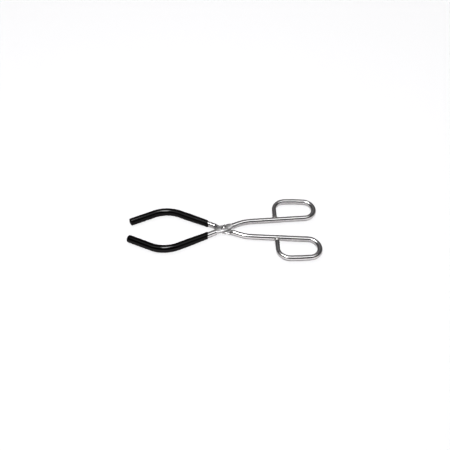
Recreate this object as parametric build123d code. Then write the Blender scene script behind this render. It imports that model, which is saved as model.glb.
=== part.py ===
"""Scissor-type laboratory tongs with dip-coated jaws, in millimetres.

Two equal arms, each bent from one round rod, cross at a riveted half-lap. Each
rod runs from a bowed jaw, through its lap, to a finger loop whose drawn-down end
is welded back onto the rod. A thick vinyl dip coating covers each jaw.

Frame: origin on the rivet's axis, midway between the two laps. +X points to the
finger loops and -X to the jaws, the rods' centrelines lie in the XY plane, and
+Z is up when the tongs lie flat. The top arm's lap is above Z = 0, and the bottom
arm is the same arm turned half a turn about X. The rest pose is partly open.
"""
from build123d import *
from math import cos, radians, sin, sqrt, tan
import os

# ---- driving dimensions ---------------------------------------------------
ROD_D = 7.5                # plated rod
LINE_ANGLE = 25.0          # the arm's straight run through the pivot, from X

JAW_CORNER = 85.2          # pivot to the jaw bend's corner, along the run
JAW_TURN = 50.0            # how far the jaw turns back towards the other jaw
JAW_BEND_R = 42.3
JAW_TIP_LENGTH = 52.28     # jaw bend's corner to the rod's tip

HANDLE_CORNER = 29.3       # pivot to the handle bend's corner, along the run
HANDLE_ANGLE = 4.0         # handle, from X
HANDLE_BEND_R = 53.7

LOOP_NOSE_X = 122.74       # centreline of the finger loop's far end
LOOP_NOSE_ANGLE = 88.0     # the far end leans out a little
LOOP_OUTER_Y = 48.5        # centreline of the finger loop's outer side
LOOP_CREST_X = 97.0        # beyond here the outer side leans in towards the far end
LOOP_CREST_LEAN = 3.5
CREST_BEND_R = 60.0
LOOP_LEG_X = 69.3          # centreline of the leg that closes the loop
NOSE_INNER_R = 14.9
NOSE_OUTER_R = 14.4
LEG_BEND_R = 15.0
LEG_D = 6.2                # the rod's end is drawn down before it is welded

LAP_GAP = 0.1              # running gap between the two laps
LAP_TOP = 3.7              # outer face of a lap, above the centreline plane
LAP_HALF_LENGTH = 10.0     # pivot to the end of the full lap
LAP_BLEND = 4.0            # lap back to round rod
LAP_W_MIDDLE = 10.0
LAP_W_END = 8.4
LAP_EDGE_R = 1.1

COAT_WALL = 1.3
COAT_TIP_WALL = 1.4        # coating beyond the rod's tip
COAT_EDGE_X = 21.3         # the dip line is a plane square to X, this far from the pivot
COAT_TIP_FILLET = 3.0
COAT_EDGE_FILLET = 0.5

RIVET_D = 3.6
RIVET_HEAD_D = 6.4
RIVET_RIM = 0.3            # straight rim under each dome
RIVET_END_Z = 6.4          # top of each dome
RIVET_RUNNING_GAP = 0.05   # radial and axial, at the bottom arm

WELD_GAP = 0.3             # leg's cut end to the rod it is welded to
WELD_LEG = 1.2             # how far the bead climbs the leg
WELD_TOE = 0.8             # how far the bead spreads beyond the leg
WELD_CROWN = 0.05          # bead's thickness where it fades out on the leg
WELD_SINK = 1.5            # how far the bead wraps down the rod's sides
WELD_SHOULDER = 0.35       # share of the bead's height that is straight
WELD_WAIST = (0.42, 0.66)  # a point of its hollow: share of the toe, share of the height

# ---- values that follow from them ----------------------------------------
ROD_R = ROD_D / 2
LEG_R = LEG_D / 2
COAT_R = ROD_R + COAT_WALL
LAP_BOTTOM = LAP_GAP / 2
LAP_T = LAP_TOP - LAP_BOTTOM
LAP_END = LAP_HALF_LENGTH + LAP_BLEND
OVERSIZE = 30.0            # cutting tools reach this far past what they cut


def along(start, angle, length):
    """The point that lies length away from start, at an angle from +X."""
    return Vector(start.X + length * cos(radians(angle)), start.Y + length * sin(radians(angle)), 0)


def crossing(point_a, angle_a, point_b, angle_b):
    """Where the line through each point, at its angle from +X, crosses the other."""
    slope_a, slope_b = tan(radians(angle_a)), tan(radians(angle_b))
    x = (point_b.Y - point_a.Y + slope_a * point_a.X - slope_b * point_b.X) / (slope_a - slope_b)
    return Vector(x, point_a.Y + slope_a * (x - point_a.X), 0)


PIVOT = Vector(0, 0, 0)
JAW_ANGLE = LINE_ANGLE + 180
jaw_corner = along(PIVOT, JAW_ANGLE, JAW_CORNER)
rod_tip = along(jaw_corner, JAW_ANGLE - JAW_TURN, JAW_TIP_LENGTH)
handle_corner = along(PIVOT, LINE_ANGLE, HANDLE_CORNER)


def handle_y(x):
    """Y of the handle's straight centreline at x."""
    return handle_corner.Y + (x - handle_corner.X) * tan(radians(HANDLE_ANGLE))


nose_inner = Vector(LOOP_NOSE_X, handle_y(LOOP_NOSE_X), 0)
outer_crest = Vector(LOOP_CREST_X, LOOP_OUTER_Y, 0)
nose_outer = crossing(nose_inner, LOOP_NOSE_ANGLE, outer_crest, -LOOP_CREST_LEAN)
leg_bend_centre = Vector(LOOP_LEG_X + LEG_BEND_R, LOOP_OUTER_Y - LEG_BEND_R, 0)
leg_bend_start = Vector(leg_bend_centre.X, LOOP_OUTER_Y, 0)
leg_foot_y = handle_y(LOOP_LEG_X) + ROD_R / cos(radians(HANDLE_ANGLE)) + WELD_GAP


# ---- rod -------------------------------------------------------------------
def round_rod(path, diameter):
    """A round rod along a planar path of lines and arcs."""
    return sweep(Plane(path @ 0, z_dir=path % 0) * Circle(diameter / 2), path=path)


def jaw_path(tip_extra=0.0):
    """Centreline of the jaw, from the lap's end to the tip, or past it by tip_extra."""
    end = along(rod_tip, JAW_ANGLE - JAW_TURN, tip_extra)
    return FilletPolyline(along(PIVOT, JAW_ANGLE, LAP_END), jaw_corner, end, radius=JAW_BEND_R)


def handle_rod():
    """The handle and the full-size part of its finger loop."""
    path = FilletPolyline(
        along(PIVOT, LINE_ANGLE, LAP_END),
        handle_corner,
        nose_inner,
        nose_outer,
        outer_crest,
        leg_bend_start,
        radius=[HANDLE_BEND_R, NOSE_INNER_R, NOSE_OUTER_R, CREST_BEND_R],
    )
    return round_rod(path, ROD_D)


def loop_leg():
    """The loop's drawn-down end: it tapers round the last bend and runs straight to its foot."""
    stations = 6
    rings = []
    for i in range(stations + 1):
        share = i / stations
        turned = 90 + 90 * share
        ease = share * share * (3 - 2 * share)
        centre = along(leg_bend_centre, turned, LEG_BEND_R)
        heading = along(PIVOT, turned + 90, 1)
        rings.append(Plane(centre, z_dir=heading) * Circle(ROD_R + (LEG_R - ROD_R) * ease))
    bend = loft(rings)
    foot_length = leg_bend_centre.Y - leg_foot_y
    leg = Pos(LOOP_LEG_X, leg_bend_centre.Y, 0) * Rot(90, 0, 0) * Cylinder(
        LEG_R, foot_length, align=(Align.CENTER, Align.CENTER, Align.MIN)
    )
    return bend + leg


# ---- lap -------------------------------------------------------------------
def cross_ring(x, width, height, corner_r, middle_z):
    """A closed outline at x, square to the run: four sides and four rounded corners.

    Where corner_r is half of width and of height, the outline is a circle of eight arcs,
    so that every outline has the same number of edges.
    """
    plane = Plane(origin=(x, 0, middle_z), x_dir=(0, 1, 0), z_dir=(1, 0, 0))
    a, b = width / 2 - corner_r, height / 2 - corner_r
    if a < 1e-6:
        edges = [CenterArc((0, 0), corner_r, 45 * i - 22.5, 45) for i in range(8)]
    else:
        half_w, half_h = width / 2, height / 2
        edges = [
            Line((half_w, -b), (half_w, b)),
            CenterArc((a, b), corner_r, 0, 90),
            Line((a, half_h), (-a, half_h)),
            CenterArc((-a, b), corner_r, 90, 90),
            Line((-half_w, b), (-half_w, -b)),
            CenterArc((-a, -b), corner_r, 180, 90),
            Line((-a, -half_h), (a, -half_h)),
            CenterArc((a, -b), corner_r, 270, 90),
        ]
    return plane * make_face(edges)


def lap_ring(x, width):
    """The pressed cross-section: flat faces on the rod's one side of the middle plane."""
    return cross_ring(x, width, LAP_T, LAP_EDGE_R, LAP_BOTTOM + LAP_T / 2)


def lap():
    """The whole lap along X: a plate with bowed sides, blended to round rod at each end."""
    near_end = lap_ring(-LAP_HALF_LENGTH, LAP_W_END)
    middle = lap_ring(0, LAP_W_MIDDLE)
    far_end = lap_ring(LAP_HALF_LENGTH, LAP_W_END)
    plate = loft([near_end, middle, far_end])
    rod_end = cross_ring(LAP_END, ROD_D, ROD_D, ROD_R, 0)
    blend = loft([far_end, rod_end], ruled=True)
    return plate + blend + mirror(blend, Plane.YZ)


# ---- sub-parts, all on the top arm -----------------------------------------
def arm(hole_r):
    """One bent arm with its rivet hole."""
    jaw = round_rod(jaw_path(), ROD_D)
    body = jaw + Rot(0, 0, LINE_ANGLE) * lap() + handle_rod() + loop_leg()
    return body - Cylinder(hole_r, OVERSIZE)


def jaw_coating(rod):
    """The dip coating: closed round the jaw's tip, and ending at the dip line."""
    path = jaw_path(tip_extra=COAT_TIP_WALL)
    shell = round_rod(path, 2 * COAT_R)
    tip_edge = shell.edges().sort_by(Axis.X)[0]
    shell = fillet(tip_edge, COAT_TIP_FILLET)
    keep = Pos(-COAT_EDGE_X, 0, 0) * Box(
        4 * JAW_CORNER, 2 * JAW_CORNER, OVERSIZE, align=(Align.MAX, Align.CENTER, Align.CENTER)
    )
    shell = shell & keep
    dip_edge = shell.edges().sort_by(Axis.X)[-1]
    return fillet(dip_edge, COAT_EDGE_FILLET) - rod


def loop_weld(rod):
    """The bead that joins the loop's drawn-down end to the handle."""
    base_y = leg_foot_y - WELD_GAP - ROD_R + WELD_SINK
    height = leg_foot_y + WELD_LEG - base_y
    toe_r = LEG_R + WELD_TOE
    crown_r = LEG_R + WELD_CROWN
    shoulder = (toe_r, height * WELD_SHOULDER)
    waist = (LEG_R + WELD_TOE * WELD_WAIST[0], height * WELD_WAIST[1])
    profile = [
        Line((0, 0), (toe_r, 0)),
        Line((toe_r, 0), shoulder),
        ThreePointArc(shoulder, waist, (crown_r, height)),
        Line((crown_r, height), (0, height)),
        Line((0, height), (0, 0)),
    ]
    bead = revolve(Plane.XZ * make_face(profile), Axis.Z)
    bead = Pos(LOOP_LEG_X, base_y, 0) * Rot(-90, 0, 0) * bead
    return bead - rod


def pivot_rivet():
    """A round-head rivet, set to the same dome at both ends."""
    top_seat = LAP_TOP
    bottom_seat = -LAP_TOP - RIVET_RUNNING_GAP
    shank = Pos(0, 0, bottom_seat) * Cylinder(
        RIVET_D / 2, top_seat - bottom_seat, align=(Align.CENTER, Align.CENTER, Align.MIN)
    )
    return shank + rivet_head(top_seat, 1) + rivet_head(bottom_seat, -1)


def rivet_head(seat_z, side):
    """A dome on a short straight rim, outside seat_z on the side +1 or -1."""
    head_r = RIVET_HEAD_D / 2
    rim_z = seat_z + side * RIVET_RIM
    end_z = side * RIVET_END_Z
    rise = abs(end_z - rim_z)
    dome_r = (head_r**2 + rise**2) / (2 * rise)
    bulge_z = end_z - side * (dome_r - sqrt(dome_r**2 - (head_r / 2) ** 2))
    profile = [
        Line((0, seat_z), (head_r, seat_z)),
        Line((head_r, seat_z), (head_r, rim_z)),
        ThreePointArc((head_r, rim_z), (head_r / 2, bulge_z), (0, end_z)),
        Line((0, end_z), (0, seat_z)),
    ]
    return revolve(Plane.XZ * make_face(profile), Axis.Z)


# ---- assembly --------------------------------------------------------------
def turned_over(shape):
    """The same piece on the bottom arm: half a turn about X."""
    return shape.rotate(Axis.X, 180)


def main():
    top_arm = arm(RIVET_D / 2)
    bottom_arm = arm(RIVET_D / 2 + RIVET_RUNNING_GAP)
    coating = jaw_coating(top_arm)
    weld = loop_weld(top_arm)
    nodes = {
        "top_arm": top_arm,
        "bottom_arm": turned_over(bottom_arm),
        "top_jaw_coating": coating,
        "bottom_jaw_coating": turned_over(coating),
        "top_loop_weld": weld,
        "bottom_loop_weld": turned_over(weld),
        "pivot_rivet": pivot_rivet(),
    }
    os.makedirs("parts", exist_ok=True)
    for name, shape in nodes.items():
        solid = shape.solid()
        export_step(solid, f"parts/{name}.step")
        print(f"{name}: {solid.volume:.1f} mm3")


main()
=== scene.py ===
"""Looks of the coated laboratory tongs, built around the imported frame. Lengths are in metres.

The two arms are equal, so every arm piece is made for the top arm, and a copy turned
half a turn about X is the bottom arm's. Each piece replaces one CAD node.
"""
import bpy
from math import atan2, cos, exp, pi, radians, sin, sqrt, tan
from mathutils import Matrix, Vector, noise
from mathutils.kdtree import KDTree


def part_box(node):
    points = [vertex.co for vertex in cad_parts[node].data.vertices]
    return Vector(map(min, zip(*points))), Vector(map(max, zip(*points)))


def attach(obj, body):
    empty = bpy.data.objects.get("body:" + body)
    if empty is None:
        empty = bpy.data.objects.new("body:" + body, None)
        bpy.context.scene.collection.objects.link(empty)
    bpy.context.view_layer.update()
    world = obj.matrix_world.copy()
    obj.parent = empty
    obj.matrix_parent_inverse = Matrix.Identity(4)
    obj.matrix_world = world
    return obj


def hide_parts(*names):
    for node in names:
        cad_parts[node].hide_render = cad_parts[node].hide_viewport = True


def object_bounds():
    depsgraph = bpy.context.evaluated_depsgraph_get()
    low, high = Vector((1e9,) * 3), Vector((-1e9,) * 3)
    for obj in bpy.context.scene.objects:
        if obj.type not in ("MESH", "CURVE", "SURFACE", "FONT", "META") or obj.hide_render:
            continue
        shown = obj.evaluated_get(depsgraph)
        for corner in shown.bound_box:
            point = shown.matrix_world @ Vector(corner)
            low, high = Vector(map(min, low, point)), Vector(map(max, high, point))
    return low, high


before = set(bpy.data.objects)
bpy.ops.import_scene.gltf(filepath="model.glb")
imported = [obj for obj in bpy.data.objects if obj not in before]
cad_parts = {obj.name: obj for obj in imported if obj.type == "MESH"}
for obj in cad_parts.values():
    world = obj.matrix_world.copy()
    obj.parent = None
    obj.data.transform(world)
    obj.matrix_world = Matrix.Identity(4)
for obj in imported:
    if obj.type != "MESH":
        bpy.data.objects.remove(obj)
cad_low, cad_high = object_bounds()

MM = 0.001

# ---- sizes read from the frame -------------------------------------------------------
ROD_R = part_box("top_arm")[1].z
COAT_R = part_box("top_jaw_coating")[1].z
DIP_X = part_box("top_jaw_coating")[1].x
HEAD_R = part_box("pivot_rivet")[1].x
HEAD_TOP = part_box("pivot_rivet")[1].z
LEG_X = (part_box("top_loop_weld")[0].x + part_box("top_loop_weld")[1].x) / 2
FLOOR_Z = cad_low.z

# ---- the top arm's centreline, as in the design --------------------------------------
LINE_ANGLE = radians(25)   # the straight run through the pivot, from +X
JAW_CORNER = 85.2 * MM     # from the pivot back to the jaw bend's corner
JAW_TURN = radians(50)
JAW_BEND_R = 42.3 * MM
JAW_TIP_LENGTH = 52.28 * MM  # from that corner to the rod's end
HANDLE_CORNER = 29.3 * MM  # from the pivot on to the handle bend's corner
HANDLE_ANGLE = radians(4)
HANDLE_BEND_R = 53.7 * MM
NOSE_X = 122.74 * MM       # where the handle's line meets the finger loop's far side
NOSE_ANGLE = radians(88)
NOSE_INNER_R = 14.9 * MM
NOSE_OUTER_R = 14.4 * MM
OUTER_Y = 48.5 * MM        # the finger loop's outer side
CREST_X = 97 * MM          # beyond here the outer side leans in towards the far end
CREST_LEAN = radians(3.5)
CREST_BEND_R = 60 * MM
LEG_BEND_R = 15.0 * MM
LEG_R = 3.1 * MM           # the rod where it is drawn down, at the finger loop's end
WELD_GAP = 0.3 * MM        # between the leg's end and the handle, filled by the weld
PIVOT_RUN = 2              # the route's span through the pivot, after the jaw's tip run and bend

# ---- the pressed half-lap ------------------------------------------------------------
LAP_BOTTOM = 0.05 * MM     # the mating face, above the plane between the arms
LAP_TOP = 3.7 * MM
LAP_HALF_LENGTH = 10.3 * MM
LAP_END = 13.0 * MM        # the rod is round again this far from the pivot
LAP_W_MIDDLE = 9.95 * MM
LAP_W_END = 8.3 * MM
LAP_SQUARENESS = 5.5       # superellipse power of the mating side, and of the seat under the rivet
LAP_PILLOW = 2.2           # the same for the outer side, away from the rivet
LAP_DENT = 0.12 * MM       # unevenness that the press leaves on the outer side
DENTS_PER_METRE = 330
SEAT_HALF_LENGTH = 2.8 * MM  # flat seat under the rivet's head
SEAT_BLEND = 2.0 * MM

# ---- the rivet -----------------------------------------------------------------------
SHANK_R = 1.8 * MM
RUNNING_GAP = 0.05 * MM    # round the shank, in the arm that turns
SEAT_Z = 3.73 * MM         # underside of the head
RIM = 0.3 * MM             # height of the head's edge, below its dome
RIM_ROUND = 0.12 * MM
DOME_FULLNESS = 0.92       # power of the dome's rise: 1 is an ellipse
TOOL_RING_R = 0.62         # ring that the setting tool leaves: shares of the head's radius
TOOL_RING_WIDTH = 0.05
TOOL_RING_DEPTH = 0.05 * MM

# ---- the rod's mesh ------------------------------------------------------------------
ROD_SIDES = 48
ROD_STEP = 0.8 * MM
BEND_SQUEEZE = 0.12        # share of its width that a rod loses in a bend of its own radius
BEND_REACH = 2 * MM        # bends are averaged over this far each way
WANDER = 0.05 * MM         # the rod strays sideways by this much
WANDERS_PER_METRE = 25

# ---- camera --------------------------------------------------------------------------
CAMERA_AIM = Vector((1.7, 7.5, 0)) * MM
CAMERA_AWAY = Vector((-0.0161, -0.6428, 0.7659))  # from the aim to the camera, 50 degrees up
CAMERA_DISTANCE = 0.6858
CAMERA_ROLL = radians(0.57)
CAMERA_LENS = 41.03


def make_camera():
    """The camera stands in front of the tongs and looks down at them."""
    away = CAMERA_AWAY * CAMERA_DISTANCE
    camera = bpy.data.objects.new("camera", bpy.data.cameras.new("camera"))
    bpy.context.scene.collection.objects.link(camera)
    facing = away.to_track_quat("Z", "Y").to_matrix().to_4x4()
    place = Matrix.Translation(CAMERA_AIM + away)
    camera.matrix_world = place @ facing @ Matrix.Rotation(CAMERA_ROLL, 4, "Z")
    camera.data.lens = CAMERA_LENS
    camera.data.clip_end = 20
    bpy.context.scene.camera = camera


# ---- centreline ----------------------------------------------------------------------
def heading_vector(angle):
    return Vector((cos(angle), sin(angle), 0))


def ease(t):
    """0 to 1, with a level start and end."""
    t = min(max(t, 0.0), 1.0)
    return t * t * (3 - 2 * t)


def stray_along(s, per_metre, row):
    """A smooth unevenness within -1 to 1 along a length; each row is a different one."""
    return noise.noise(Vector((s * per_metre, *row)))


def stray_round(angle, waves, row):
    """A smooth unevenness within -1 to 1 round a ring; each row is a different one."""
    return noise.noise(Vector((cos(angle) * waves, sin(angle) * waves, row)))


class Route:
    """A planar centreline of straight runs and arcs, read by the distance along it."""

    def __init__(self, corners, radii):
        self.spans = []        # (start distance, start point, heading, curvature)
        self.length = 0.0
        here = corners[0]
        runs = [b - a for a, b in zip(corners, corners[1:])]
        headings = [atan2(runs[0].y, runs[0].x)]
        for before, after in zip(runs, runs[1:]):
            headings.append(headings[-1] - before.xy.angle_signed(after.xy))
        for i, radius in enumerate(radii):
            turn = headings[i + 1] - headings[i]
            cut = radius * tan(abs(turn) / 2)
            bend_start = corners[i + 1] - heading_vector(headings[i]) * cut
            self.add((bend_start - here).length, here, headings[i], 0.0)
            self.add(radius * abs(turn), bend_start, headings[i], (1 if turn > 0 else -1) / radius)
            here = corners[i + 1] + heading_vector(headings[i + 1]) * cut
        self.add((corners[-1] - here).length, here, headings[-1], 0.0)

    def add(self, length, start, heading, curvature):
        self.spans.append((self.length, start, heading, curvature))
        self.length += length

    def at(self, s):
        """(point, heading) at distance s; past either end the route runs on straight."""
        span = self.spans[0]
        for candidate in self.spans:
            if candidate[0] <= s:
                span = candidate
        start_s, start, heading, curvature = span
        along = s - start_s
        if curvature == 0.0:
            return start + heading_vector(heading) * along, heading
        radius = 1 / curvature
        centre = start + heading_vector(heading + pi / 2) * radius
        turned = heading + along * curvature
        return centre - heading_vector(turned + pi / 2) * radius, turned

    def bend(self, s, reach):
        """Mean curvature over reach to either side of s."""
        return (self.at(s + reach)[1] - self.at(s - reach)[1]) / (2 * reach)


def top_arm_route():
    """Jaw tip, jaw bend, pivot, handle bend, finger loop and its foot on the handle."""
    pivot_run = heading_vector(LINE_ANGLE)
    jaw_corner = -pivot_run * JAW_CORNER
    rod_tip = jaw_corner - heading_vector(LINE_ANGLE - JAW_TURN) * JAW_TIP_LENGTH
    handle_corner = pivot_run * HANDLE_CORNER
    nose_inner = Vector((NOSE_X, handle_y(NOSE_X), 0))
    outer_crest = Vector((CREST_X, OUTER_Y, 0))
    nose_rise = OUTER_Y - nose_inner.y - (NOSE_X - CREST_X) * tan(CREST_LEAN)
    nose_lean = nose_rise / (tan(NOSE_ANGLE) + tan(CREST_LEAN))
    nose_outer = nose_inner + Vector((nose_lean, nose_lean * tan(NOSE_ANGLE), 0))
    leg_corner = Vector((LEG_X, OUTER_Y, 0))
    foot = Vector((LEG_X, leg_foot_y(), 0))
    corners = [rod_tip, jaw_corner, handle_corner, nose_inner, nose_outer, outer_crest, leg_corner, foot]
    radii = [JAW_BEND_R, HANDLE_BEND_R, NOSE_INNER_R, NOSE_OUTER_R, CREST_BEND_R, LEG_BEND_R]
    return Route(corners, radii)


def handle_y(x):
    """Y of the handle's straight centreline at x."""
    corner = heading_vector(LINE_ANGLE) * HANDLE_CORNER
    return corner.y + (x - corner.x) * tan(HANDLE_ANGLE)


def leg_foot_y():
    """Y of the leg's end, just off the handle's surface."""
    return handle_y(LEG_X) + ROD_R / cos(HANDLE_ANGLE) + WELD_GAP


# ---- meshes from rings ---------------------------------------------------------------
def skin(name, rings, grain, body, node, material):
    """A closed mesh through rings of points, with a cap on each end, as a finished piece.

    grain gives each ring's distance along the piece. With the point's place round the
    ring it is stored in the mesh, so that a material's grain follows every bend.
    """
    sides = len(rings[0])
    points = [p for ring in rings for p in ring]
    faces = []
    for i in range(len(rings) - 1):
        for j in range(sides):
            k = (j + 1) % sides
            faces.append((i * sides + j, i * sides + k, (i + 1) * sides + k, (i + 1) * sides + j))
    for ring_index, turn in ((0, -1), (len(rings) - 1, 1)):
        centre = sum(rings[ring_index], Vector()) / sides
        points.append(centre)
        for j in range(sides):
            corner = ring_index * sides + j
            nextto = ring_index * sides + (j + 1) % sides
            faces.append((corner, nextto, len(points) - 1)[::turn])
    mesh = bpy.data.meshes.new(name)
    mesh.from_pydata(points, [], faces)
    mesh.validate()
    attribute = mesh.attributes.new("grain", "FLOAT_VECTOR", "POINT")
    for i, distance in enumerate(grain):
        for j in range(sides):
            angle = 2 * pi * j / sides
            attribute.data[i * sides + j].vector = (ROD_R * cos(angle), ROD_R * sin(angle), distance)
    for cap, distance in enumerate((grain[0], grain[-1])):
        attribute.data[len(rings) * sides + cap].vector = (0, 0, distance)
    for polygon in mesh.polygons:
        polygon.use_smooth = True
    return finish_piece(name, mesh, body, node, material)


def finish_piece(name, mesh, body, node, material):
    """Outward faces, a material, a body to ride on and the CAD node that it replaces."""
    if signed_volume(mesh) < 0:
        mesh.flip_normals()
    piece = bpy.data.objects.new(name, mesh)
    bpy.context.scene.collection.objects.link(piece)
    mesh.materials.append(material)
    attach(piece, body)
    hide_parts(node)
    return piece


def signed_volume(mesh):
    """The volume inside the mesh, below zero if its faces look inwards."""
    mesh.calc_loop_triangles()
    volume = 0.0
    for triangle in mesh.loop_triangles:
        a, b, c = (mesh.vertices[i].co for i in triangle.vertices)
        volume += a.dot(b.cross(c)) / 6
    return volume


def turned_over(rings):
    """The same rings on the bottom arm: half a turn about X."""
    return [[Vector((p.x, -p.y, -p.z)) for p in ring] for ring in rings]


def circle(radius, z, sides):
    """Points round the Z axis."""
    angles = [2 * pi * j / sides for j in range(sides)]
    return [Vector((radius * cos(angle), radius * sin(angle), z)) for angle in angles]


def steps_between(start, end, step):
    """Distances from start to end, evenly spaced and about step apart."""
    count = max(1, round(abs(end - start) / step))
    return [start + (end - start) * i / count for i in range(count + 1)]


# ---- arms ----------------------------------------------------------------------------
def signed_power(value, power):
    """The power of the value's size, with its sign."""
    return (1 if value >= 0 else -1) * abs(value) ** power


def rod_radius(route, s):
    """Full size, except that the finger loop's end is drawn down round its last bend."""
    leg_bend = route.spans[-2][0]
    foot_run = route.spans[-1][0]
    return ROD_R + (LEG_R - ROD_R) * ease((s - leg_bend) / (foot_run - leg_bend))


def arm_section(route, s, pivot_s):
    """The rod's outline at s, as (across, up) pairs: round, pressed flat at the lap."""
    radius = rod_radius(route, s)
    from_pivot = abs(s - pivot_s)
    pressed = 1 - ease((from_pivot - LAP_HALF_LENGTH) / (LAP_END - LAP_HALF_LENGTH))
    inside = min(from_pivot / LAP_HALF_LENGTH, 1.0)
    pillow = ease((from_pivot - SEAT_HALF_LENGTH) / SEAT_BLEND)
    outer_side = LAP_SQUARENESS + (LAP_PILLOW - LAP_SQUARENESS) * pillow
    half_width = (LAP_W_MIDDLE + (LAP_W_END - LAP_W_MIDDLE) * inside**2) / 2
    half_height = (LAP_TOP - LAP_BOTTOM) / 2
    middle = (LAP_TOP + LAP_BOTTOM) / 2
    squeeze = 1 - BEND_SQUEEZE * radius * abs(route.bend(s, BEND_REACH))
    outline = []
    for j in range(ROD_SIDES):
        c, u = cos(2 * pi * j / ROD_SIDES), sin(2 * pi * j / ROD_SIDES)
        across = radius * squeeze * c
        up = radius * u
        squareness = outer_side if u > 0 else LAP_SQUARENESS
        flat_across = half_width * signed_power(c, 2 / squareness)
        flat_up = middle + half_height * signed_power(u, 2 / squareness)
        if u > 0:
            place = Vector((flat_across, s - pivot_s, 0)) * DENTS_PER_METRE
            flat_up -= LAP_DENT * pillow * u * (1 + noise.noise(place))
        outline.append((across + (flat_across - across) * pressed, up + (flat_up - up) * pressed))
    return outline


def arm_rings(route, pivot_s):
    """Rings along the whole rod, and each one's distance from the jaw's end."""
    rings = []
    distances = steps_between(0, route.length, ROD_STEP)
    for s in distances:
        point, heading = route.at(s)
        sideways = heading_vector(heading + pi / 2)
        wander = WANDER * stray_along(s, WANDERS_PER_METRE, (3.1, 0.7))
        ring = []
        for across, up in arm_section(route, s, pivot_s):
            ring.append(point + sideways * (across + wander) + Vector((0, 0, up)))
        rings.append(ring)
    return rings, distances


def drill(mesh, radius):
    """Cuts the rivet's hole along Z through the pivot, and returns the cut mesh."""
    sides, reach = 64, 20 * MM
    points = circle(radius, -reach, sides) + circle(radius, reach, sides)
    faces = [tuple(range(sides))[::-1], tuple(range(sides, 2 * sides))]
    for j in range(sides):
        k = (j + 1) % sides
        faces.append((j, k, sides + k, sides + j))
    drill_mesh = bpy.data.meshes.new("drill")
    drill_mesh.from_pydata(points, [], faces)
    tool = bpy.data.objects.new("drill", drill_mesh)
    work = bpy.data.objects.new("work", mesh)
    for each in (tool, work):
        bpy.context.scene.collection.objects.link(each)
    cut = work.modifiers.new("hole", "BOOLEAN")
    cut.object = tool
    cut.operation = "DIFFERENCE"
    cut.solver = "EXACT"
    bpy.context.view_layer.update()
    graph = bpy.context.evaluated_depsgraph_get()
    drilled = bpy.data.meshes.new_from_object(work.evaluated_get(graph))
    for each in (tool, work):
        bpy.data.objects.remove(each)
    return drilled


def carry_grain(source, target):
    """Gives each of target's points the grain of source's nearest point, as cutting loses it."""
    tree = KDTree(len(source.vertices))
    for i, vertex in enumerate(source.vertices):
        tree.insert(vertex.co, i)
    tree.balance()
    grain = source.attributes["grain"].data
    carried = target.attributes.get("grain") or target.attributes.new("grain", "FLOAT_VECTOR", "POINT")
    for i, vertex in enumerate(target.vertices):
        nearest = tree.find(vertex.co)[1]
        carried.data[i].vector = grain[nearest].vector


def make_arms(route, pivot_s, material):
    rings, distances = arm_rings(route, pivot_s)
    sets = (
        ("top_arm", "top_arm_body", rings, SHANK_R),
        ("bottom_arm", "bottom_arm_body", turned_over(rings), SHANK_R + RUNNING_GAP),
    )
    for node, body, arm, hole_r in sets:
        piece = skin(node + "_rod", arm, distances, body, node, material)
        drilled = drill(piece.data, hole_r)
        carry_grain(piece.data, drilled)
        drilled.name = piece.name + "_drilled"
        piece.data = drilled


# ---- jaw coatings --------------------------------------------------------------------
COAT_SIDES = 56
COAT_STEP = 0.8 * MM       # between rings on the outside
BORE_STEP = 2 * MM         # the same inside, where the rod hides them
TIP_WALL = 1.4 * MM        # coating beyond the rod's tip
TIP_ROUND = 3.4 * MM       # length over which the closed tip rounds off
TIP_SQUARENESS = 2.6
TIP_STEPS = 14
WALL_AT_DIP = 0.8 * MM     # the coating is thinnest there
WALL_FILL = 30 * MM        # the wall reaches its full thickness this far from the dip line
WALL_UNEVEN = 0.03 * MM
WALL_WAVES_PER_METRE = 60
BORE_GAP = 0.01 * MM       # between the rod's side and the coating
BORE_END = 0.02 * MM       # between the rod's end and the coating
DIP_ROUND = 0.7 * MM       # rounded lip at the dip line
DIP_STEPS = 8
DIP_SLANT = 9 * MM         # rings turn square to the rod over this length from the dip line
LIP_WALL = 0.15            # the lip's thinnest part, as a share of the wall there
LIP_WAVE = 0.25 * MM       # how far the dip line strays


def coating_ring(route, s, radius, dip_pull, wave=0.0):
    """A ring round the jaw at s; dip_pull 1 slants it into the dip line's plane."""
    point, heading = route.at(s)
    forward = heading_vector(heading)
    sideways = heading_vector(heading + pi / 2)
    ring = []
    for j in range(COAT_SIDES):
        angle = 2 * pi * j / COAT_SIDES
        p = point + sideways * (radius * cos(angle)) + Vector((0, 0, radius * sin(angle)))
        edge = DIP_X + wave * stray_round(angle, 1.3, 5.46)
        p += forward * ((edge - p.x) / forward.x * dip_pull)
        ring.append(p)
    return ring


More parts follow.
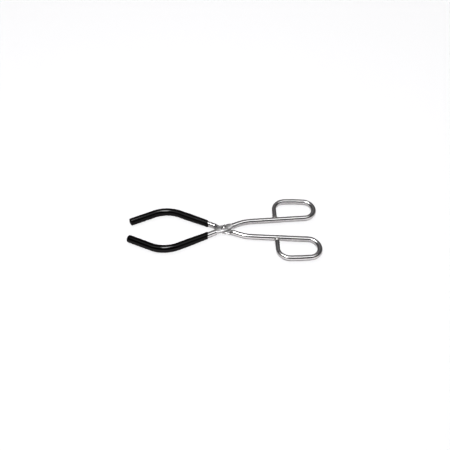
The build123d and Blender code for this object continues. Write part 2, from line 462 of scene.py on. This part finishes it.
def coating_rings(route):
    """From the middle of the rod's end, out along the rod to the lip, and back over the outside."""
    dip_s = distance_to_x(route, DIP_X)
    slant_end = dip_s - DIP_SLANT
    tip_start = TIP_ROUND - TIP_WALL
    bore = ROD_R + BORE_GAP
    rings, distances = [], []

    def add(s, radius, wave=0.0):
        pull = ease((s - slant_end) / DIP_SLANT)
        rings.append(coating_ring(route, s, radius, pull, wave))
        distances.append(s)

    for share in (0.3, 0.7, 0.95, 1.0):
        add(-BORE_END, bore * share)
    for s in steps_between(BORE_STEP / 2, slant_end, BORE_STEP):
        add(s, bore)
    for s in steps_between(slant_end + BORE_STEP / 2, dip_s, BORE_STEP / 2):
        add(s, bore)
    for i in range(1, DIP_STEPS + 1):
        turn = pi / 2 * i / DIP_STEPS
        wall = WALL_AT_DIP * (LIP_WALL + (1 - LIP_WALL) * sin(turn))
        add(dip_s - DIP_ROUND * (1 - cos(turn)), bore + wall, LIP_WAVE)
    for s in steps_between(dip_s - DIP_ROUND - COAT_STEP / 2, tip_start, COAT_STEP):
        add(s, outer_radius(s, dip_s))
    for i in range(1, TIP_STEPS):
        turn = pi / 2 * i / TIP_STEPS
        along = sin(turn) ** (2 / TIP_SQUARENESS)
        shrink = cos(turn) ** (2 / TIP_SQUARENESS)
        add(tip_start - TIP_ROUND * along, outer_radius(tip_start, dip_s) * shrink)
    return rings, distances


def outer_radius(s, dip_s):
    """The coating drains while it gels, so it is thinner near the dip line, and uneven."""
    full_wall = COAT_R - ROD_R - WALL_UNEVEN
    fill = ease((dip_s - s) / WALL_FILL)
    unevenness = WALL_UNEVEN * stray_along(s, WALL_WAVES_PER_METRE, (1.7, 5.3))
    return ROD_R + WALL_AT_DIP + (full_wall - WALL_AT_DIP) * fill + unevenness


def distance_to_x(route, x):
    """Distance along the route at which its straight run through the pivot is at x."""
    start_s, start, heading, _ = route.spans[PIVOT_RUN]
    return start_s + (x - start.x) / cos(heading)


def make_coatings(route, material):
    rings, distances = coating_rings(route)
    for side, arm in (("top", rings), ("bottom", turned_over(rings))):
        node = side + "_jaw_coating"
        skin(side + "_jaw_dip", arm, distances, side + "_arm_body", node, material)


# ---- loop welds ----------------------------------------------------------------------
WELD_SIDES = 96
WELD_STEPS = 14            # from the bead's toe to its top
WELD_STEP = 0.3 * MM       # about how far apart the rings are
WELD_TOE = 0.7 * MM        # how far the bead spreads beyond the leg along the handle
WELD_SIDE_TOE = 0.955      # how far it wraps round the handle, as a share of the rod's radius
WELD_CLIMB = 1.2 * MM      # how far it climbs the leg
WELD_CROWN = 0.25 * MM     # how far it bulges
WELD_RIPPLES = 19
RIPPLE_HEIGHT = 0.12       # share of the bulge
RIPPLE_SWEEP = 2.2         # how far the ripples lag at mid-height, in radians
RAGGED_TOE = 0.05          # shares by which the bead's edges stray
RAGGED_TOP = 0.12
WELD_STANDOFF = 0.02 * MM  # between the leg's side and the bead's top edge
WELD_TOE_SINK = 0.03 * MM  # of the bead's toe into the handle
BULGE_TILT = 0.55          # how much the bulge points up the leg, beside 1 outwards
INNER_TOE = 0.6            # the bead closes inside the handle and inside the leg: shares of its radii
INNER_TOP = 0.8


def rod_surface_y(x, z):
    """The handle's surface above its centreline, at x and z, on the finger loop's side."""
    return handle_y(x) + sqrt(max(ROD_R**2 - z**2, 0)) / cos(HANDLE_ANGLE)


def weld_rings():
    """A rippled bead from the handle's surface up to the leg, closed inside the metal."""
    toe_r = LEG_R + WELD_TOE
    top_r = LEG_R + WELD_STANDOFF
    rings = [[] for _ in range(WELD_STEPS + 3)]
    for j in range(WELD_SIDES):
        angle = 2 * pi * j / WELD_SIDES
        c, u = cos(angle), sin(angle)
        toe_x = toe_r * (1 + RAGGED_TOE * stray_round(angle, 2, 8.8)) * c
        toe_z = ROD_R * WELD_SIDE_TOE * u
        toe_y = rod_surface_y(LEG_X + toe_x, toe_z) - WELD_TOE_SINK
        top_y = leg_foot_y() + WELD_CLIMB * (1 + RAGGED_TOP * stray_round(angle, 2, 2.4))
        toe = Vector((LEG_X + toe_x, toe_y, toe_z))
        top = Vector((LEG_X + top_r * c, top_y, top_r * u))
        outward = Vector((c, BULGE_TILT, u)).normalized()
        rings[0].append(Vector((LEG_X + toe_x * INNER_TOE, handle_y(LEG_X), toe_z * INNER_TOE)))
        for i in range(WELD_STEPS + 1):
            share = i / WELD_STEPS
            lag = RIPPLE_SWEEP * sin(pi * share)
            ripple = 1 + RIPPLE_HEIGHT * sin(WELD_RIPPLES * angle + lag)
            rings[i + 1].append(toe.lerp(top, share) + outward * WELD_CROWN * sin(pi * share) * ripple)
        inner_r = LEG_R * INNER_TOP
        rings[-1].append(Vector((LEG_X + inner_r * c, top_y - 0.2 * MM, inner_r * u)))
    distances = [i * WELD_STEP for i in range(len(rings))]
    return rings, distances


def make_welds(material):
    rings, distances = weld_rings()
    for side, bead in (("top", rings), ("bottom", turned_over(rings))):
        node = side + "_loop_weld"
        skin(side + "_loop_bead", bead, distances, side + "_arm_body", node, material)


# ---- rivet ---------------------------------------------------------------------------
RIVET_SIDES = 72
RIM_STEPS = 4
DOME_STEPS = 22
RIVET_STEP = 0.2 * MM      # about how far apart the rings are


def head_profile():
    """(radius, height) from the shank out under the head, round its rim and over its dome."""
    profile = [(SHANK_R, SEAT_Z), (HEAD_R * 0.75, SEAT_Z), (HEAD_R * 0.97, SEAT_Z)]
    for i in range(RIM_STEPS + 1):
        turn = pi / 2 * i / RIM_STEPS
        profile.append((HEAD_R - RIM_ROUND * (1 - sin(turn)), SEAT_Z + RIM_ROUND * (1 - cos(turn))))
    dome_start = SEAT_Z + RIM
    for i in range(DOME_STEPS):
        turn = pi / 2 * i / DOME_STEPS
        radius = HEAD_R * cos(turn)
        rise = (HEAD_TOP - dome_start) * sin(turn) ** DOME_FULLNESS
        from_ring = (radius / HEAD_R - TOOL_RING_R) / TOOL_RING_WIDTH
        profile.append((radius, dome_start + rise - TOOL_RING_DEPTH * exp(-from_ring**2)))
    return profile


def make_rivet(material):
    half = head_profile()
    profile = [(radius, -z) for radius, z in reversed(half)] + half
    rings = [circle(radius, z, RIVET_SIDES) for radius, z in profile]
    distances = [i * RIVET_STEP for i in range(len(rings))]
    skin("rivet", rings, distances, "top_arm_body", "pivot_rivet", material)


# ---- materials -----------------------------------------------------------------------
class Graph:
    """A node tree, with short ways to add nodes to it."""

    def __init__(self, tree):
        self.nodes = tree.nodes
        self.links = tree.links

    def link(self, source, target):
        self.links.new(source, target)

    def scaled(self, vector, scale):
        """The vector times scale, axis by axis."""
        mapping = self.nodes.new("ShaderNodeMapping")
        mapping.inputs["Scale"].default_value = scale
        self.link(vector, mapping.inputs["Vector"])
        return mapping.outputs["Vector"]

    def separate(self, vector):
        """The X, Y and Z outputs of a vector."""
        node = self.nodes.new("ShaderNodeSeparateXYZ")
        self.link(vector, node.inputs["Vector"])
        return node.outputs

    def noise(self, vector, detail, roughness=0.5):
        """A noise from 0 to 1 with one feature to each unit of vector."""
        texture = self.nodes.new("ShaderNodeTexNoise")
        texture.inputs["Scale"].default_value = 1
        texture.inputs["Detail"].default_value = detail
        texture.inputs["Roughness"].default_value = roughness
        self.link(vector, texture.inputs["Vector"])
        return texture.outputs["Fac"]

    def spread(self, value, source, target):
        """Maps the range source to the range target, clamped."""
        ramp = self.nodes.new("ShaderNodeMapRange")
        for name, number in zip(("From Min", "From Max", "To Min", "To Max"), (*source, *target)):
            ramp.inputs[name].default_value = number
        self.link(value, ramp.inputs["Value"])
        return ramp.outputs["Result"]

    def math(self, operation, *values):
        """A Math node on outputs and numbers."""
        node = self.nodes.new("ShaderNodeMath")
        node.operation = operation
        for value, socket in zip(values, node.inputs):
            if isinstance(value, (int, float)):
                socket.default_value = value
            else:
                self.link(value, socket)
        return node.outputs["Value"]

    def colours(self, value, stops):
        """A colour ramp through (position, colour) stops."""
        ramp = self.nodes.new("ShaderNodeValToRGB")
        elements = ramp.color_ramp.elements
        while len(elements) < len(stops):
            elements.new(0.5)
        for element, (position, colour) in zip(elements, stops):
            element.position = position
            element.color = (*colour, 1)
        self.link(value, ramp.inputs["Fac"])
        return ramp.outputs["Color"]


class Shader(Graph):
    """A material with its Principled shader.

    roughness and colour are its flat values, which use() may put detail over.
    """

    def __init__(self, name, metallic, roughness, colour):
        self.material = bpy.data.materials.new(name)
        self.material.use_nodes = True
        super().__init__(self.material.node_tree)
        self.surface = self.nodes["Principled BSDF"]
        self.surface.inputs["Metallic"].default_value = metallic
        self.surface.inputs["Roughness"].default_value = roughness
        self.surface.inputs["Base Color"].default_value = (*colour, 1)

    def grain(self, across=1.0, along=1.0):
        """Coordinates in metres that follow the piece, times these scales."""
        attribute = self.nodes.new("ShaderNodeAttribute")
        attribute.attribute_name = "grain"
        return self.scaled(attribute.outputs["Vector"], (across, across, along))

    def place(self, scale):
        """Coordinates in metres in the part's own frame, times scale."""
        coordinates = self.nodes.new("ShaderNodeTexCoord")
        return self.scaled(coordinates.outputs["Object"], (scale, scale, scale))

    def bump(self, height, distance, strength, under=None):
        """A bumped normal, over the normal under if that is given."""
        node = self.nodes.new("ShaderNodeBump")
        node.inputs["Strength"].default_value = strength
        node.inputs["Distance"].default_value = distance
        self.link(height, node.inputs["Height"])
        if under is not None:
            self.link(under, node.inputs["Normal"])
        return node.outputs["Normal"]

    def use(self, **inputs):
        """Links the shader's inputs, and returns the material."""
        for name, output in inputs.items():
            self.link(output, self.surface.inputs[name.replace("_", " ")])
        return self.material


def plated_rod_material(pivot_s):
    """Bright nickel over drawn rod: fine lines along it, faint patches, mottled where pressed."""
    shader = Shader("plated_rod", metallic=1.0, roughness=0.16, colour=(0.60, 0.60, 0.605))
    grey, bright = (0.56, 0.56, 0.566), (0.62, 0.618, 0.614)
    lines = shader.noise(shader.grain(across=3200, along=45), detail=3, roughness=0.6)
    patches = shader.noise(shader.grain(across=260, along=110), detail=4, roughness=0.55)
    blotches = shader.noise(shader.grain(across=420, along=420), detail=2)
    peel = shader.noise(shader.place(650), detail=2)
    distance = shader.separate(shader.grain())["Z"]
    from_pivot = shader.math("ABSOLUTE", shader.math("SUBTRACT", distance, pivot_s))
    pressed = shader.spread(from_pivot, (LAP_HALF_LENGTH, LAP_END), (1.0, 0.0))
    colour = shader.colours(patches, [(0.35, grey), (0.65, bright)])
    line_rough = shader.spread(lines, (0.3, 0.75), (0.0, 0.10))
    patch_rough = shader.spread(patches, (0.3, 0.75), (0.10, 0.19))
    drawn_rough = shader.math("ADD", line_rough, patch_rough)
    pressed_rough = shader.spread(blotches, (0.40, 0.60), (0.10, 0.40))
    rough = shader.math("MULTIPLY_ADD", pressed, pressed_rough, drawn_rough)
    fine = shader.bump(lines, 0.012 * MM, strength=0.6)
    normal = shader.bump(peel, 0.02 * MM, strength=0.5, under=fine)
    return shader.use(Base_Color=colour, Roughness=rough, Normal=normal)


def rivet_material():
    """Plated rivet head, duller than the rod and marked by the setting tool."""
    shader = Shader("rivet_steel", metallic=1.0, roughness=0.2, colour=(0.56, 0.56, 0.565))
    grey, bright = (0.50, 0.50, 0.505), (0.62, 0.618, 0.61)
    marks = shader.noise(shader.place(900), detail=4, roughness=0.6)
    colour = shader.colours(marks, [(0.3, grey), (0.7, bright)])
    rough = shader.spread(marks, (0.3, 0.7), (0.14, 0.26))
    normal = shader.bump(marks, 0.05 * MM, strength=0.5)
    return shader.use(Base_Color=colour, Roughness=rough, Normal=normal)


def weld_material():
    """Plated weld metal: rougher, with a faint straw and grey tint from the heat."""
    shader = Shader("weld_bead", metallic=1.0, roughness=0.3, colour=(0.56, 0.55, 0.54))
    grey, bright, straw = (0.47, 0.47, 0.48), (0.60, 0.59, 0.575), (0.56, 0.53, 0.48)
    grit = shader.noise(shader.place(1500), detail=4, roughness=0.6)
    tint = shader.noise(shader.place(280), detail=2)
    colour = shader.colours(tint, [(0.3, grey), (0.55, bright), (0.75, straw)])
    rough = shader.spread(grit, (0.3, 0.7), (0.32, 0.50))
    normal = shader.bump(grit, 0.06 * MM, strength=0.6)
    return shader.use(Base_Color=colour, Roughness=rough, Normal=normal)


def dip_material():
    """Glossy black dip-coated vinyl: a soft sag, a fine peel and faintly duller patches."""
    shader = Shader("dip_coating", metallic=0.0, roughness=0.14, colour=(0.0018, 0.0014, 0.0015))
    shader.surface.inputs["Specular IOR Level"].default_value = 0.38
    black, scuffed = (0.0016, 0.0012, 0.0013), (0.005, 0.0038, 0.0042)
    sag = shader.noise(shader.grain(across=190, along=90), detail=2)
    peel = shader.noise(shader.place(1100), detail=2)
    scuffs = shader.noise(shader.grain(across=900, along=220), detail=5, roughness=0.65)
    colour = shader.colours(scuffs, [(0.45, black), (0.8, scuffed)])
    rough = shader.spread(scuffs, (0.35, 0.8), (0.06, 0.16))
    waves = shader.bump(sag, 0.05 * MM, strength=0.5)
    normal = shader.bump(peel, 0.012 * MM, strength=0.5, under=waves)
    return shader.use(Base_Color=colour, Roughness=rough, Normal=normal)


# ---- stage ---------------------------------------------------------------------------
# Radiances as the tongs see them. The room's directions are unit vectors from the tongs.
FLOOR_HALF = 6.0
SOFTBOX_SIZE = (1.2, 0.6)
SOFTBOX_PLACE = (0, 0, 1.0)
SOFTBOX_RADIANCE = 1.3
STRIP_SIZE = (0.155, 0.6)
STRIP_PLACE = (-0.14, 0, 0.98)
STRIP_RADIANCE = 9.0
FLOOR_FILL = 13.0          # strength of the sun that lights the floor alone
ROOM_COLOUR = (1.0, 0.97, 0.98)
ROOM_BACK = 0.12           # the walls in the reflections
ROOM_FRONT = 0.04
PALE_STRIPE = 0.10         # what the wall behind gains in its middle
GLOW = 1.25                # what the wall in front gains low down
TABLE_BACK = 0.35          # the floor in the reflections, far off behind
TABLE_FRONT = 1.0          # far off in front
TABLE_NEAR = 0.6
UNDERSIDE = 0.3            # straight down, where the tongs shade it
BACKDROP_COLOUR = (0.93, 0.93, 0.94)


def make_floor():
    near, far = -FLOOR_HALF, FLOOR_HALF
    corners = [(near, near, FLOOR_Z), (far, near, FLOOR_Z), (far, far, FLOOR_Z), (near, far, FLOOR_Z)]
    mesh = bpy.data.meshes.new("floor")
    mesh.from_pydata(corners, [], [(0, 1, 2, 3)])
    floor = bpy.data.objects.new("floor", mesh)
    bpy.context.scene.collection.objects.link(floor)
    shader = Shader("pale_floor", metallic=0.0, roughness=0.9, colour=(0.15, 0.15, 0.151))
    shader.surface.inputs["Specular IOR Level"].default_value = 0
    mesh.materials.append(shader.material)
    floor.visible_glossy = False
    return floor


def area_light(name, size, place, radiance):
    """A rectangular lamp that faces straight down, with the power that gives it its radiance."""
    data = bpy.data.lights.new(name, "AREA")
    data.shape = "RECTANGLE"
    data.size, data.size_y = size
    data.energy = radiance * pi * size[0] * size[1]
    light = bpy.data.objects.new(name, data)
    light.location = place
    bpy.context.scene.collection.objects.link(light)


def make_lights(floor):
    """A wide softbox overhead with a brighter strip over the jaws, and fill for the floor alone."""
    area_light("softbox", SOFTBOX_SIZE, SOFTBOX_PLACE, SOFTBOX_RADIANCE)
    area_light("strip", STRIP_SIZE, STRIP_PLACE, STRIP_RADIANCE)
    fill = bpy.data.lights.new("floor_fill", "SUN")
    fill.energy = FLOOR_FILL
    fill.use_shadow = False
    fill_object = bpy.data.objects.new("floor_fill", fill)
    fill_object.visible_glossy = False
    receivers = bpy.data.collections.new("floor_only")
    receivers.objects.link(floor)
    fill_object.light_linking.receiver_collection = receivers
    bpy.context.scene.collection.objects.link(fill_object)


def wall_radiance(graph, towards):
    """Dim walls, paler in the middle behind, and glowing low down in front."""
    walls = graph.spread(towards["Y"], (-0.6, 0.2), (ROOM_FRONT, ROOM_BACK))
    off_middle = graph.math("ABSOLUTE", towards["X"])
    stripe = graph.spread(off_middle, (0.2, 0.4), (PALE_STRIPE, 0.0))
    behind = graph.spread(towards["Y"], (0.0, 0.3), (0.0, 1.0))
    low_down = graph.spread(towards["Z"], (0.15, 0.5), (GLOW, 0.0))
    in_front = graph.spread(towards["Y"], (-0.85, 0.0), (1.0, 0.0))
    striped = graph.math("MULTIPLY_ADD", stripe, behind, walls)
    return graph.math("MULTIPLY_ADD", low_down, in_front, striped)


def table_radiance(graph, towards):
    """The floor as the reflections see it: bright in front, shaded right under the tongs."""
    far_off = graph.spread(towards["Z"], (-0.6, 0.0), (0.0, 1.0))
    far_gain = graph.spread(towards["Y"], (-0.5, 0.5), (TABLE_FRONT - TABLE_NEAR, TABLE_BACK - TABLE_NEAR))
    table = graph.math("MULTIPLY_ADD", far_off, far_gain, TABLE_NEAR)
    shade = graph.spread(towards["Z"], (-0.97, -0.75), (UNDERSIDE - TABLE_NEAR, 0.0))
    return graph.math("ADD", table, shade)


def make_world():
    """A room for the reflections, and a pale backdrop behind the floor for the camera.

    The floor itself is hidden from the reflections, and the room's lower half stands for it.
    """
    world = bpy.data.worlds.new("room")
    bpy.context.scene.world = world
    world.use_nodes = True
    graph = Graph(world.node_tree)
    towards = graph.separate(graph.nodes.new("ShaderNodeTexCoord").outputs["Generated"])
    above = graph.spread(towards["Z"], (-0.05, 0.05), (0.0, 1.0))
    below = graph.math("SUBTRACT", 1.0, above)
    upper = graph.math("MULTIPLY", wall_radiance(graph, towards), above)
    radiance = graph.math("MULTIPLY_ADD", table_radiance(graph, towards), below, upper)
    room = graph.nodes["Background"]
    room.inputs["Color"].default_value = (*ROOM_COLOUR, 1)
    graph.link(radiance, room.inputs["Strength"])

    backdrop = graph.nodes.new("ShaderNodeBackground")
    backdrop.inputs["Color"].default_value = (*BACKDROP_COLOUR, 1)
    seen = graph.nodes.new("ShaderNodeLightPath")
    mix = graph.nodes.new("ShaderNodeMixShader")
    graph.link(seen.outputs["Is Camera Ray"], mix.inputs["Fac"])
    graph.link(room.outputs["Background"], mix.inputs[1])
    graph.link(backdrop.outputs["Background"], mix.inputs[2])
    graph.link(mix.outputs["Shader"], graph.nodes["World Output"].inputs["Surface"])


def set_contrast():
    """Plain colours with the hard contrast of a catalogue picture."""
    bpy.context.scene.view_settings.view_transform = "Standard"
    bpy.context.scene.view_settings.look = "High Contrast"


# ---- making --------------------------------------------------------------------------
make_camera()
make_world()
set_contrast()
make_lights(make_floor())

arm_route = top_arm_route()
pivot_distance = distance_to_x(arm_route, 0)
make_arms(arm_route, pivot_distance, plated_rod_material(pivot_distance))
make_coatings(arm_route, dip_material())
make_welds(weld_material())
make_rivet(rivet_material())
